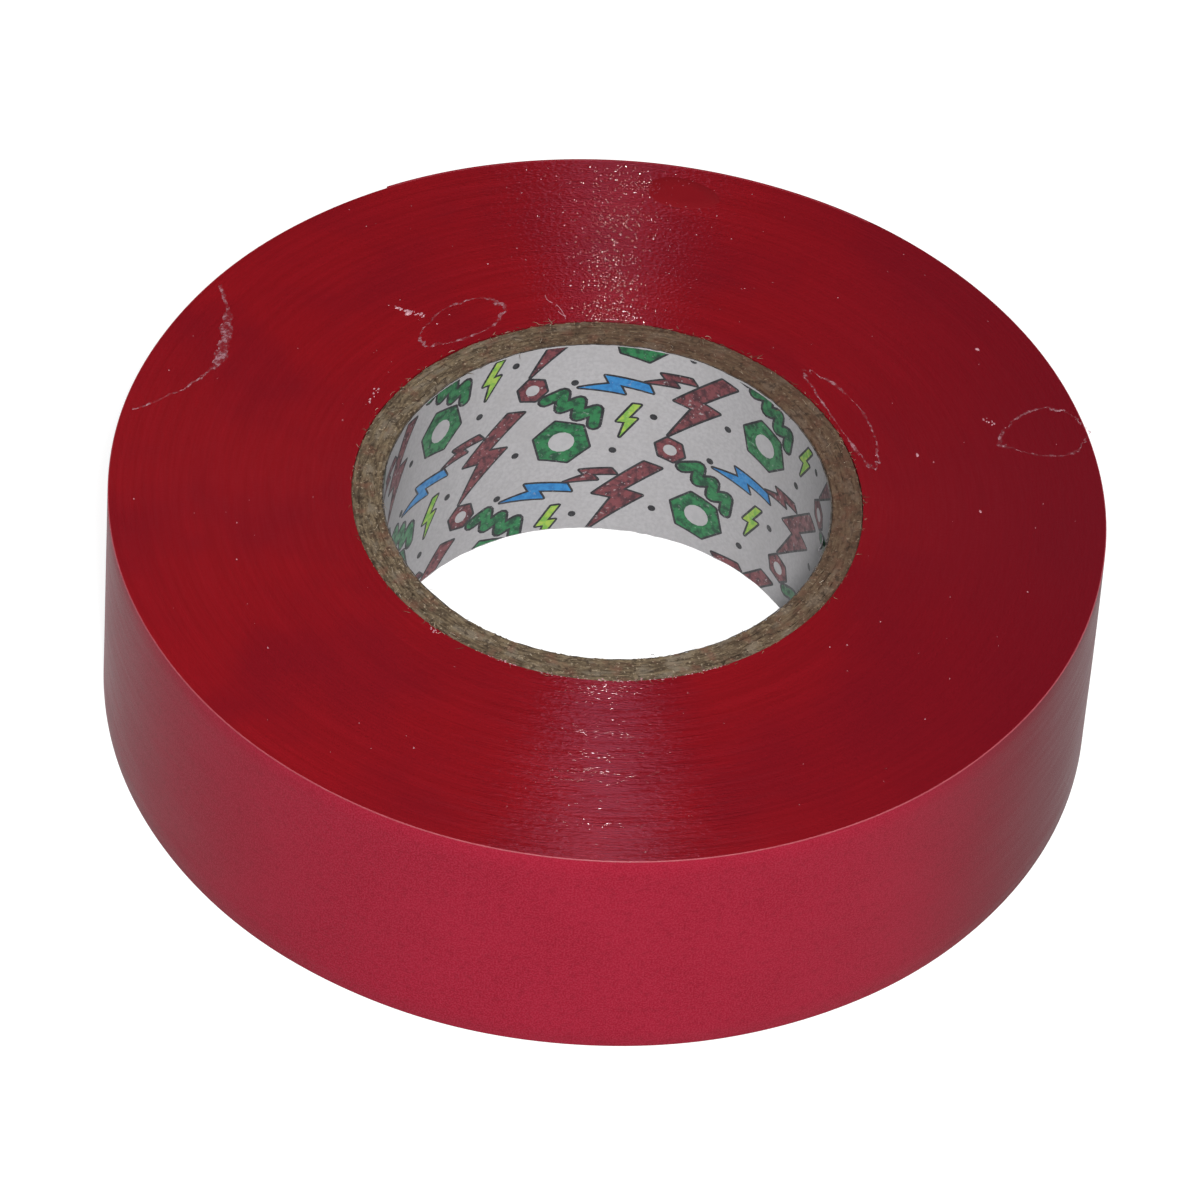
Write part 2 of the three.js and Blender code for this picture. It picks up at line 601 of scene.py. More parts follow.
def wound_tape(edge, film, rolled):
    """All the turns that are stuck down, with each turn's edge as its own ring."""
    share = np.linspace(0, 1, TURN_STEPS + 1)
    angle = ROOT - FULL_TURN + FULL_TURN * share
    turns = math.ceil((outer_face(ROOT - FULL_TURN) - CORE_RADIUS) / TAPE) + 1
    top_r, top_z = turn_rows(turns, 2, share, angle, FACE)
    top_r, top_z = top_r[:-1], top_z[:-1]
    side_r, side_z = outside_profile(angle, share - 0.5)
    foot_r, foot_z = turn_rows(turns, 1, share, angle, RIM / 2)
    radius = np.concatenate([top_r, side_r, foot_r[::-1]])
    z = np.concatenate([top_z, side_z, foot_z[::-1]])
    points = around_axis(radius, angle, z)
    rows, columns = radius.shape
    faces = grid_quads(rows, columns, close_rows=True)
    first, last = len(top_r), len(top_r) + len(side_r) - 1
    corners = [0, columns, 2 * columns - 1, columns - 1]
    step = np.arange(first, last)[:, None] * columns + corners
    row_of_face = faces[:, 0] // columns
    numbers = ((row_of_face >= first) & (row_of_face < last)).astype(int)
    numbers[(row_of_face >= first) & (row_of_face < first + RIM_STEPS)] = 2
    piece = make_piece("wound_tape_turns", points, np.concatenate([faces, step]).tolist(),
                       [edge, film, rolled], strip_uv(angle, z))
    paint_faces(piece, np.concatenate([numbers, np.zeros(len(step), int)]))
    weld(piece)
    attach(piece, "roll")
    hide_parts("wound_tape")


def strip_uv(angle, z):
    """Distance along the strip and height on it, both in millimetres."""
    along = np.radians(angle) * ROOT_RADIUS
    return np.stack([np.broadcast_to(along, z.shape), z], -1)


def free_end_stretch(number, start, end, finishes):
    """One short stretch of the free end, a closed thin strip open at its two ends.
    The finishes are those of its edges, outer face, inner face and rim."""
    columns = max(3, int(round((end - start) / SEGMENT_ARC * 8)) + 1)
    angle = np.linspace(start, end, columns)
    turn = (angle - ROOT) / FULL_TURN + 0.5
    side_r, side_z = outside_profile(angle, turn)
    thin = TAPE - STUCK_GAP
    inner_r = side_r[RIM_STEPS:-RIM_STEPS][::-1] - thin
    inner_z = side_z[RIM_STEPS:-RIM_STEPS][::-1].copy()
    inner_z[0], inner_z[-1] = foot_height(turn) + GROOVE, edge_height(turn) - GROOVE
    radius, z = np.concatenate([side_r, inner_r]), np.concatenate([side_z, inner_z])
    rows = len(radius)
    faces = grid_quads(rows, columns, close_rows=True)
    row_of_face = faces[:, 0] // columns
    numbers = np.full(len(faces), 1)
    numbers[row_of_face < RIM_STEPS] = 3
    numbers[row_of_face >= len(side_r) - 1] = 0
    numbers[(row_of_face >= len(side_r)) & (row_of_face < rows - 1)] = 2
    faces = faces.tolist()
    last = number > len(SEGMENTS)
    if last:
        faces.append(list(range(columns - 1, rows * columns, columns)))
        numbers = np.append(numbers, 0)
    piece = make_piece(f"free_end_film_{number:02d}", around_axis(radius, angle, z), faces,
                       finishes, strip_uv(angle, z))
    paint_faces(piece, numbers)
    keep_creases(piece, 50)
    if last:
        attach(piece, SEGMENTS[-1])
        return
    ends = around_axis(outer_face(angle[[0, -1]]), angle[[0, -1]], HEIGHT / 2) * MM
    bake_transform(piece)
    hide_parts(SEGMENTS[number - 1])


def free_end(finishes):
    """The strip from where it lifts to its cut tip, one stretch for each hinge."""
    middles = [ROOT + SEGMENT_ARC * (i + 0.5) for i in range(len(SEGMENTS))]
    tip = ROOT + SEGMENT_ARC * len(SEGMENTS)
    marks = [ROOT] + middles + [tip]
    for i in range(len(marks) - 1):
        free_end_stretch(i + 1, marks[i], marks[i + 1], finishes)


# ---- the core

BOARD_STEPS = 1440
BOARD_ROWS = 8
PLY = (CORE_RADIUS - LINER_RADIUS) / len(PLIES)
BOARD_RECESS = 0.06  # the board stops a little short of the tape's edges
FRAYED = 0.4  # how far down the walls the cut has roughened the board


def ring_field(seed, cells_round, cells_across):
    """Smooth random heights from -1 to 1 over a sawn end, closed round the ring."""
    rng = np.random.default_rng(seed)
    lattice = rng.uniform(-1, 1, (cells_across + 2, cells_round))
    across = np.linspace(0, cells_across, BOARD_ROWS)[:, None]
    around = (np.arange(BOARD_STEPS) * cells_round / BOARD_STEPS)[None, :]
    i, j = np.floor(across).astype(int), np.floor(around).astype(int)
    s, t = smoothstep(across - i), smoothstep(around - j)
    right = (j + 1) % cells_round
    near = lattice[i, j] * (1 - t) + lattice[i, right] * t
    far = lattice[i + 1, j] * (1 - t) + lattice[i + 1, right] * t
    return near * (1 - s) + far * s


def board_relief(seed):
    """Heights of a sawn end of board: long fibres, short ones and grit."""
    long = ring_field(seed, 110, 6)
    short = ring_field(seed + 1, 420, 5)
    grit = ring_field(seed + 2, 1100, 7)
    return 0.035 * long + 0.035 * short + 0.022 * grit


def joint_slit(azimuth, joint, radius):
    """How deep the open joint cuts into the end of the board."""
    apart = np.abs((azimuth - joint + 180) % FULL_TURN - 180)
    return 0.35 * np.clip(1.2 - np.radians(apart) * radius / (JOINT_GAP / 2), 0, 1)


def board_end(inner, outer, azimuth, joint, seed):
    """Radius and depth below the nominal face, over one sawn end of a ply."""
    share = np.linspace(0, 1, BOARD_ROWS)[:, None]
    inner = inner + ply_line(inner, azimuth)
    outer = outer + ply_line(outer, azimuth)
    radius = inner + (outer - inner) * share
    fray = ring_field(seed + 5, 420, 2)
    if inner.min() < LINER_RADIUS + PLY / 2:
        radius[0] += 0.1 * np.abs(fray[0])
    depth = BOARD_RECESS - board_relief(seed) + joint_slit(azimuth, joint, outer.mean())
    depth[[0, -1]] += 0.02 + 0.04 * np.clip(fray[[0, -1]], 0, 1)
    if outer.max() > CORE_RADIUS - PLY / 2:
        depth[-1] += 0.16 + 0.14 * fray[-1]
    return radius, depth


def ply_line(radius, azimuth):
    """How far the line between two plies strays on the sawn end, never at the walls."""
    share = (radius - LINER_RADIUS) / (CORE_RADIUS - LINER_RADIUS)
    size = 0.3 * share * (1 - share)
    a = np.radians(azimuth)
    return size * (np.sin(3 * a + radius) + 0.6 * np.sin(11 * a + 5 * radius)
                   + 0.4 * np.sin(29 * a + 9 * radius))


def core_ply(node, inner, outer, joint, seed, board):
    azimuth = np.arange(BOARD_STEPS)[None, :] * FULL_TURN / BOARD_STEPS
    top_r, top_d = board_end(inner, outer, azimuth, joint + JOINT_TURN, seed)
    foot_r, foot_d = board_end(inner, outer, azimuth, joint, seed + 20)
    level = np.ones_like(azimuth)
    radius = np.concatenate([
        top_r, outer * level, outer * level, foot_r[::-1], inner * level, inner * level,
    ])
    z = np.concatenate([
        HEIGHT - top_d, (HEIGHT - FRAYED) * level, FRAYED * level,
        foot_d[::-1], FRAYED * level, (HEIGHT - FRAYED) * level,
    ])
    faces = grid_quads(len(radius), BOARD_STEPS, close_rows=True, close_columns=True)
    piece = make_piece(f"{node}_board", around_axis(radius, azimuth, z), faces.tolist(),
                       [board])
    keep_creases(piece, 60)
    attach(piece, "roll")
    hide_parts(node)


def core(board):
    radii = [outer_radius(node) for node in PLIES] + [LINER_RADIUS]
    for i, node in enumerate(PLIES):
        joint = LINER_JOINT + (len(PLIES) - i) * JOINT_STAGGER
        core_ply(node, radii[i + 1], radii[i], joint, 100 + 50 * i, board)


FIBRE_POINTS = 6
FIBRE_SIDES = 3


def loose_fibres(name, count, height, upwards, seed, fibre):
    """Short curled fibres that stand out of the board's sawn end."""
    rng = np.random.default_rng(seed)
    each = (count, 1)
    azimuth = rng.uniform(0, FULL_TURN, each)
    edges = np.array([LINER_RADIUS, CORE_RADIUS])
    at_edge = rng.choice(edges, each, p=[0.12, 0.88])
    at_edge = at_edge + rng.normal(0, 0.1, each)
    inside = rng.uniform(LINER_RADIUS, CORE_RADIUS, each)
    radius = np.where(rng.random(each) < 0.6, at_edge, inside)
    length = rng.uniform(0.2, 0.85, each) ** 1.3
    heading = rng.normal(0, 32, each) + rng.choice([0, 180], each)
    curl = rng.normal(0, 40, each)
    t = np.linspace(0, 1, FIBRE_POINTS)[None, :]
    way = np.radians(azimuth + 90 + heading + curl * t)
    x = radius * np.cos(np.radians(azimuth)) + length * np.cumsum(np.cos(way), 1) / FIBRE_POINTS
    y = radius * np.sin(np.radians(azimuth)) + length * np.cumsum(np.sin(way), 1) / FIBRE_POINTS
    rise = rng.uniform(0.0, 0.09, each) * np.sin(np.pi * t) + 0.015
    centre = np.stack([x, y, height + upwards * (rise - BOARD_RECESS / 2)], -1)
    thick = rng.uniform(0.010, 0.022, each) * (1.05 - t**3)
    side = np.radians(np.arange(FIBRE_SIDES) * FULL_TURN / FIBRE_SIDES)[None, None, :]
    across = np.stack([-np.sin(way), np.cos(way), np.zeros_like(way)], -1)[:, :, None, :]
    ring = across * np.cos(side)[..., None] + np.array([0, 0, 1.0]) * np.sin(side)[..., None]
    points = centre[:, :, None, :] + ring * thick[:, :, None, None]
    faces = many_tubes(count, FIBRE_POINTS, FIBRE_SIDES)
    piece = make_piece(name, points, faces, [fibre])
    tone = np.repeat(rng.random(count), FIBRE_POINTS * FIBRE_SIDES)
    layer = piece.data.attributes.new("tone", "FLOAT", "POINT")
    layer.data.foreach_set("value", tone.astype(np.float32))
    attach(piece, "roll")


# ---- the printed liner

LINER_SHORT = 0.2  # the paper ends a little below the board's sawn end

# The liner is laid out flat as (distance round the bore, height) and then rolled up.
# Its strip runs from its slanting joint to the same joint one turn on.
COLUMN = math.radians(1.0) * BORE_RADIUS
SEAM_LEAN = math.radians(JOINT_TURN) * BORE_RADIUS
STRIP_TILT = math.atan2(HEIGHT, SEAM_LEAN)
ALONG_STRIP = np.array([math.cos(STRIP_TILT), math.sin(STRIP_TILT)])
ACROSS_STRIP = np.array([-math.sin(STRIP_TILT), math.cos(STRIP_TILT)])
BORE_TURN = math.radians(FULL_TURN) * BORE_RADIUS
SEAM_START = math.radians(LINER_JOINT) * BORE_RADIUS


def seam_at(height):
    return SEAM_START + SEAM_LEAN * height / HEIGHT


def roll_up(flat, depth):
    """Points of the flat liner, at a depth outwards from the bore, rolled up."""
    azimuth = np.degrees(flat[:, 0] / BORE_RADIUS)
    a = np.radians(azimuth)
    swell = 0.012 * np.sin(7 * a + 0.25 * flat[:, 1]) + 0.01 * np.sin(17 * a)
    return around_axis(BORE_RADIUS + depth + swell, azimuth, flat[:, 1])


def cut_sheet(polygons, low, high, row_heights=()):
    """The area that any of the polygons covers, kept inside the liner and cut into
    columns narrow enough to be rolled up. Returns flat points and triangles."""
    points, faces, edges = [], [], []
    for polygon in polygons:
        faces.append(list(range(len(points), len(points) + len(polygon))))
        points += [Vector(p) for p in polygon]

    def line(start, end):
        edges.append((len(points), len(points) + 1))
        points.extend([Vector(start), Vector(end)])

    left, right = seam_at(0) - COLUMN, seam_at(HEIGHT) + BORE_TURN + COLUMN
    for x in np.arange(left, right, COLUMN):
        line((x, -1.0), (x, HEIGHT + 1))
    for z in (low, high, *row_heights):
        line((left, z), (right, z))
    for side in (JOINT_GAP / 4, BORE_TURN - JOINT_GAP / 4):
        line((seam_at(0) + side, 0.0), (seam_at(HEIGHT) + side, HEIGHT))
    flat, _, triangles, _, _, source = delaunay_2d_cdt(points, edges, faces, 0, 1e-5)
    flat = np.array([tuple(p) for p in flat])
    triangles = np.array([t for t, s in zip(triangles, source) if s])
    middle = flat[triangles].mean(1)
    along = middle[:, 0] - seam_at(middle[:, 1])
    inside = (middle[:, 1] > low) & (middle[:, 1] < high)
    inside &= (along > JOINT_GAP / 4) & (along < BORE_TURN - JOINT_GAP / 4)
    triangles = triangles[inside]
    used, numbers = np.unique(triangles, return_inverse=True)
    return flat[used], numbers.reshape(-1, 3)


def printed_liner(paper, cut_edge):
    corners = [
        (seam_at(0), 0.0), (seam_at(0) + BORE_TURN, 0.0),
        (seam_at(HEIGHT) + BORE_TURN, HEIGHT), (seam_at(HEIGHT), HEIGHT),
    ]
    rows = np.linspace(0, HEIGHT, 12)[1:-1]
    flat, triangles = cut_sheet([corners], 0.0, HEIGHT, rows)
    around = flat[:, 0] % BORE_TURN
    ragged = drift(31, around, 0.5, 0.045) + drift(32, around, 2.5, 0.05)
    at_top = flat[:, 1] > HEIGHT - 0.01
    at_foot = flat[:, 1] < 0.01
    flat[at_top, 1] += ragged[at_top] - LINER_SHORT
    flat[at_foot, 1] += ragged[at_foot] + LINER_SHORT / 2
    sheets = np.concatenate([roll_up(flat, 0.0), roll_up(flat, LINER)])
    outside = triangles[:, ::-1] + len(flat)
    found = {}
    for triangle in triangles.tolist():
        for a, b in zip(triangle, triangle[1:] + triangle[:1]):
            found.setdefault((min(a, b), max(a, b)), []).append((a, b))
    rim = [edges[0] for edges in found.values() if len(edges) == 1]
    walls = [(b, a, a + len(flat), b + len(flat)) for a, b in rim]
    faces = triangles.tolist() + outside.tolist() + walls
    piece = make_piece("printed_liner_paper", sheets, faces, [paper, cut_edge])
    paint_faces(piece, np.arange(len(faces)) >= len(faces) - len(walls))
    keep_creases(piece, 50)
    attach(piece, "roll")
    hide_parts("printed_liner")


# The print: bolts, nuts and zigzags scattered over a tilted square lattice.

def placed(shape, centre, size, turn):
    a = math.radians(turn)
    spin = np.array([[math.cos(a), math.sin(a)], [-math.sin(a), math.cos(a)]])
    return np.asarray(shape) * size @ spin + np.asarray(centre)


def bolt(centre, size, turn):
    """A zigzag bolt with a point at each end, two sizes long."""
    left = [(0.28, 1.0), (-0.42, -0.1), (-0.06, -0.1), (-0.3, -1.0)]
    right = [(0.46, 0.16), (0.08, 0.16), (0.62, 1.0)]
    return placed(left + right, centre, size, turn)


def regular(sides, centre, size, turn=0.0):
    a = np.radians(np.arange(sides) * FULL_TURN / sides)
    return placed(np.stack([np.cos(a), np.sin(a)], -1), centre, size, turn)


def stroke(line, width, closed=False):
    """Polygons that together draw a line with round corners."""
    line = [np.asarray(p, float) for p in line]
    made = [regular(10, p, width / 2, 7.0) for p in line]
    ends = line[1:] + line[:1] if closed else line[1:]
    for a, b in zip(line, ends):
        d = (b - a) / np.linalg.norm(b - a) * width / 2
        n = np.array([-d[1], d[0]])
        made.append(np.array([a + n, a - n, b - n, b + n]))
    return made


def zigzag_line(centre, length, height, teeth, turn):
    x = np.linspace(-0.5, 0.5, 2 * teeth + 1) * length
    y = np.where(np.arange(2 * teeth + 1) % 2 == 0, -0.5, 0.5) * height
    return placed(np.stack([x, y], -1), centre, 1.0, turn)


LINE = 0.23  # breadth of the drawn outlines
NUT = ((2.2, 3.4), 2.15)  # middle and size
WASHER = ((-2.6, -4.6), 1.15)


def hexagon(spot, size):
    return regular(6, spot, size, 12)


def hole(spot, size):
    return regular(14, spot, size * 0.46)


def motif():
    """One repeat of the pattern as {ink: polygons}, within about 6 mm of its middle."""
    tall = bolt((-3.4, 0.7), 4.0, 16)
    slight = bolt((5.7, 1.3), 1.8, -24)
    blue = bolt((2.7, -1.7), 2.5, -38)
    lime = bolt((5.3, -4.3), 1.7, 30)
    wave = zigzag_line((1.3, -5.0), 4.6, 1.3, 3, -8)
    dark = stroke(wave, 0.75 + 2 * LINE)
    for shape in (tall, slight, blue, lime):
        dark += stroke(shape, LINE * 1.5, True)
    for spot, size in (NUT, WASHER):
        dark += stroke(hexagon(spot, size), LINE * 1.6, True)
        dark += stroke(hole(spot, size), LINE * 1.3, True)
    for spot in ((-5.9, 4.4), (-0.6, 1.2), (0.1, -2.9), (-5.2, -2.7)):
        dark.append(regular(10, spot, 0.3))
    return {
        "dark": dark,
        "maroon": [tall, slight, hexagon(*WASHER)],
        "green": stroke(wave, 0.75) + [hexagon(*NUT)],
        "blue": [blue],
        "lime": [lime],
        "white": [hole(*NUT), hole(*WASHER)],
    }


LATTICE = 11.9  # from one repeat to the next
FIRST_REPEAT = (116.0, 7.1)  # azimuth and height of one repeat's middle
INK_FILM = 0.004
INKS = {  # in printing order: tone, denser tone and how bare it is in places
    "dark": (color(0.02, 0.02, 0.024), color(0.009, 0.008, 0.011), 0.25),
    "maroon": (color(0.17, 0.04, 0.048), color(0.05, 0.016, 0.022), 0.7),
    "green": (color(0.016, 0.16, 0.052), color(0.008, 0.05, 0.025), 0.3),
    "blue": (color(0.03, 0.21, 0.48), color(0.02, 0.15, 0.38), 0.3),
    "lime": (color(0.33, 0.47, 0.07), color(0.16, 0.36, 0.06), 0.3),
    "white": (color(0.42, 0.41, 0.42), color(0.39, 0.38, 0.39), 0.2),
}


def repeats():
    """Where the pattern's repeats stand on the flat liner."""
    start = np.array([math.radians(FIRST_REPEAT[0] + FULL_TURN) * BORE_RADIUS,
                      FIRST_REPEAT[1]])
    along, across = LATTICE * ALONG_STRIP, LATTICE * ACROSS_STRIP
    reach = int(BORE_TURN / LATTICE) + 2
    for i in range(-reach, reach + 1):
        for j in range(-reach, reach + 1):
            spot = start + i * along + j * across
            from_seam = spot[0] - seam_at(spot[1])
            on_width = -LATTICE < spot[1] < HEIGHT + LATTICE
            if on_width and -LATTICE < from_seam < BORE_TURN + LATTICE:
                yield spot


def liner_print():
    """One thin layer for each ink. Seen from the axis, azimuth runs to the left."""
    spots = list(repeats())
    shapes = motif()
    for layer, (name, tones) in enumerate(INKS.items()):
        polygons = []
        for spot in spots:
            for shape in shapes[name]:
                polygon = spot - shape[:, :1] * ALONG_STRIP + shape[:, 1:] * ACROSS_STRIP
                polygons.append(polygon[::-1].tolist())
        flat, triangles = cut_sheet(polygons, 0.2, HEIGHT - LINER_SHORT - 0.1)
        points = roll_up(flat, -INK_FILM * (layer + 1.5))
        finish = ink(f"ink_{name}", *tones)
        piece = make_piece(f"liner_print_{name}", points, triangles.tolist(), [finish])
        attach(piece, "roll")


TEAR_AZIMUTH = 11.5  # of the flake's root
TEAR_HEIGHT = 13.1


def liner_tear(paper):
    """A small torn flake of the liner that curls away from the bore."""
    along, up = np.meshgrid(np.linspace(0, 1, 14), np.linspace(0, 1, 8))
    width = 0.75 * (1 - 0.75 * along) + drift(41, along * 5, 1.0, 0.06)
    azimuth = TEAR_AZIMUTH - 6.5 * along
    z = TEAR_HEIGHT + 0.9 * along + (up - 0.5) * width
    lift = 0.03 + 0.5 * along**1.6 + 0.15 * (up - 0.5) ** 2
    piece = make_piece("printed_liner_tear", around_axis(BORE_RADIUS - lift, azimuth, z),
                       grid_quads(*along.shape).tolist(), [paper])
    thicken = piece.modifiers.new("Thickness", "SOLIDIFY")
    thicken.thickness = 0.05 * MM
    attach(piece, "roll")


# ---- marks on the top face

MARK_STEPS = 220
FACE_TOP = FACE + 0.03  # clear of the tallest turns


def ridge(name, x, y, breadth, height, residue, closed=True):
    """A low uneven ridge that follows a line over the top face."""
    line = np.stack([x, y], -1)
    ahead = np.roll(line, -1, 0) - np.roll(line, 1, 0)
    if not closed:
        ahead = np.gradient(line, axis=0)
    ahead /= np.linalg.norm(ahead, axis=1, keepdims=True)
    side = np.stack([-ahead[:, 1], ahead[:, 0]], -1)
    rows, rise = (-0.5, -0.2, 0.15, 0.5), (-0.03, 0.8, 1.0, -0.03)
    points = []
    for share, up in zip(rows, rise):
        spot = line + side * (breadth * share)[:, None]
        z = np.full((len(x), 1), FACE_TOP + height * up)
        points.append(np.concatenate([spot, z], 1))
    faces = grid_quads(len(rows), len(x), close_columns=closed)
    piece = make_piece(name, np.stack(points), faces.tolist(), [residue])
    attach(piece, "roll")


def uneven(seed, base, swing):
    """A breadth that varies along a mark."""
    x = np.arange(MARK_STEPS) / MARK_STEPS
    rough = drift(seed, x, 0.05, 1.0) + 0.6 * drift(seed + 1, x, 0.012, 1.0)
    return np.clip(base + swing * rough, 0.02, None)


def on_face(radius, azimuth, along, outwards):
    """Points on the top face, along the turns and outwards from a radius and azimuth."""
    r = radius + outwards
    a = math.radians(azimuth) + along / radius
    return r * np.cos(a), r * np.sin(a)


def loop_shape(length, breadth, tilt, seed, pinch, unevenness=1.0):
    """A closed uneven oval. pinch draws its leading end to a point."""
    t = np.arange(MARK_STEPS) * 2 * np.pi / MARK_STEPS
    place = MARK_STEPS / 12 * (1 + np.sin(t)) + np.abs(t - np.pi)
    wobble = 1 + unevenness * (drift(seed, place, 2.6, 0.09) + drift(seed + 1, place, 0.6, 0.04))
    u = length / 2 * np.cos(t) * wobble
    v = breadth / 2 * np.sin(t) * wobble * (1 + pinch * np.cos(t))
    return placed(np.stack([u, v], -1), (0, 0), 1.0, tilt).T


def glue_loop(name, radius, azimuth, shape, seed, residue):
    """A closed tide mark of dried glue."""
    x, y = on_face(radius, azimuth, *shape)
    ridge(name, x, y, uneven(seed, 0.14, 0.14), 0.02, residue)


def scuff(name, azimuths, rim, dip, breadth, seed, residue):
    """A pale scuff that cuts a leaf out of the face, from the rim in and back."""
    t = np.linspace(0, 1, MARK_STEPS)
    azimuth = azimuths[0] + (azimuths[1] - azimuths[0]) * t
    radius = rim - dip * np.sin(np.pi * t) ** 0.8
    radius += drift(seed, t, 0.06, 0.12) + drift(seed + 1, t, 0.015, 0.06)
    width = uneven(seed + 2, breadth, breadth * 0.5)
    width *= 0.2 + np.exp(-(((t - 0.33) / 0.2) ** 2))
    x, y, _ = around_axis(radius, azimuth, 0.0).T
    ridge(name, x, y, width, 0.025, residue, closed=False)


def smooth_patch(vinyl):
    """An oval where the turns' edges have been rubbed smooth."""
    u, v = loop_shape(5.4, 3.2, 4, 66, 0.2, 0.0)
    points = []
    for share, up in ((1.0, -0.03), (0.96, 0.012), (0.5, 0.012), (0.0, 0.012)):
        x, y = on_face(32.8, 83.0, u * share, v * share)
        points.append(np.stack([x, y, np.full(len(x), FACE_TOP + up)], -1))
    points = np.concatenate(points)[:3 * MARK_STEPS + 1]
    faces = grid_quads(3, MARK_STEPS, close_columns=True).tolist()
    inner, middle = 2 * MARK_STEPS, 3 * MARK_STEPS
    for i in range(MARK_STEPS):
        faces.append([inner + i, inner + (i + 1) % MARK_STEPS, middle])
    piece = make_piece("smooth_patch", points, faces, [vinyl])
    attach(piece, "roll")


def top_marks(residue):
    glue_loop("glue_mark_left", 20.7, 124.5, loop_shape(7.0, 3.3, -6, 61, -0.2), 161, residue)
    glue_loop("glue_mark_core", 19.8, 31.0, loop_shape(10.6, 2.2, 2, 62, 0.0), 162, residue)
    glue_loop("glue_mark_rim", 32.4, 17.6, loop_shape(6.5, 4.6, 90, 63, 0.3), 163, residue)
    scuff("scuff_left", (147.0, 171.0), 34.9, 4.0, 0.75, 64, residue)


DOME_SIDES = 8
DOME_FOOT = FACE + 0.01
ROUND_DOME = ((1.0, -0.3), (0.8, 0.55), (0.4, 0.92), (0.0, 1.0))
STRAIGHT_SIDED = ((1.0, -0.3), (0.3, 0.85), (0.0, 1.0))


def domes(name, radius, azimuth, length, breadth, rise, finish, seed, profile=ROUND_DOME):
    """Low uneven domes on the top face, each as long as told along the turns."""
    rng = np.random.default_rng(seed)
    count = len(radius)
    a = np.radians(np.arange(DOME_SIDES) * FULL_TURN / DOME_SIDES)
    uneven_reach = rng.uniform(0.8, 1.2, (count, DOME_SIDES))
    given = np.stack([radius, azimuth, length, breadth, rise])
    radius, azimuth, length, breadth, rise = given[..., None]
    rings = []
    for share, up in profile:
        reach = uneven_reach * share / 2
        r = radius + breadth * reach * np.sin(a)
        turn = azimuth + np.degrees(length * reach * np.cos(a) / radius)
        rings.append(around_axis(r, turn, DOME_FOOT + rise * up))
    points = np.stack(rings, 1)
    faces = many_tubes(count, len(rings), DOME_SIDES)
    piece = make_piece(name, points, faces, [finish])
    weld(piece, face_outwards=False)
    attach(piece, "roll")


def specks(dust):
    """Crumbs of glue and dust all over the top face, more of them at the back."""
    rng = np.random.default_rng(71)
    count = 190
    azimuth = np.where(rng.random(count) < 0.4, rng.normal(92, 13, count),
                       rng.uniform(0, FULL_TURN, count))
    radius = rng.uniform(CORE_RADIUS + 0.6, ROOT_RADIUS - 0.8, count)
    size = 0.05 + 0.09 * rng.random(count) ** 4
    domes("dust_specks", radius, azimuth, size, size, size * 0.4, dust, 72)


def trail(name, start, end, count, size, spread_mm, dust, seed):
    """A scattered trail of crumbs from one radius and azimuth to another."""
    rng = np.random.default_rng(seed)
    t = rng.random(count)
    radius = start[0] + (end[0] - start[0]) * t + rng.normal(0, spread_mm, count)
    azimuth = start[1] + (end[1] - start[1]) * t
    azimuth += np.degrees(rng.normal(0, spread_mm, count) / radius)
    reach = size * rng.uniform(0.5, 1.5, count)
    length = reach * rng.uniform(1, 2, count)
    domes(name, radius, azimuth, length, reach, reach * 0.35, dust, seed + 1)


def crumbs(dust):
    trail("glue_trail_left", (24.9, 133.0), (22.4, 129.0), 26, 0.14, 0.12, dust, 171)
    trail("glue_crumb_left", (23.5, 131.0), (23.4, 131.2), 3, 0.24, 0.05, dust, 173)
    trail("glue_trail_rim", (29.2, 21.0), (28.7, 23.0), 9, 0.12, 0.1, dust, 175)
    trail("glue_trail_core_front", (18.3, 244.0), (18.3, 300.0), 70, 0.075, 0.07, dust, 191)
    trail("glue_trail_core_left", (18.5, 230.5), (18.6, 233.5), 7, 0.1, 0.08, dust, 193)
    trail("glue_trail_core_back", (19.4, 151.0), (19.6, 157.0), 12, 0.1, 0.15, dust, 195)
    trail("glue_crumb_front", (28.9, 217.3), (28.9, 217.3), 1, 0.12, 0.0, dust, 197)
    for i, spot in enumerate(((31.8, 35.0), (23.0, 17.0), (26.8, 3.0))):
        trail(f"glue_crumb_{i + 1}", spot, spot, 2, 0.14, 0.06, dust, 177 + 2 * i)


def stray_fibre(name, start, end, bow, dust):
    """A pale fibre that lies on the top face from one radius and azimuth to another."""
    t = np.linspace(0, 1, 24)[:, None]
    first, last = around_axis(*np.array([start, end]).T, 0.0)
    way = last - first
    side = np.array([-way[1], way[0], 0.0])
    line = first + way * t + side * bow * np.sin(np.pi * t)
    ridge(name, line[:, 0], line[:, 1], np.full(24, 0.045), 0.035, dust, closed=False)


def stray_fibres(dust):
    stray_fibre("stray_fibre_outer", (21.3, 105.3), (20.4, 104.3), -0.15, dust)
    stray_fibre("stray_fibre_middle", (20.2, 103.6), (18.6, 102.4), 0.06, dust)
    stray_fibre("stray_fibre_inner", (19.5, 103.6), (18.9, 102.2), -0.1, dust)


PROUD_TURNS = (18.9, 19.3, 19.6, 23.4, 23.7, 25.6, 27.1, 27.4, 28.1, 32.3)
PROUD_SPOTS = ((33.0, 89.0), (29.4, 92.0), (25.0, 92.0), (22.8, 92.3), (19.0, 93.5), (18.9, 90.0))


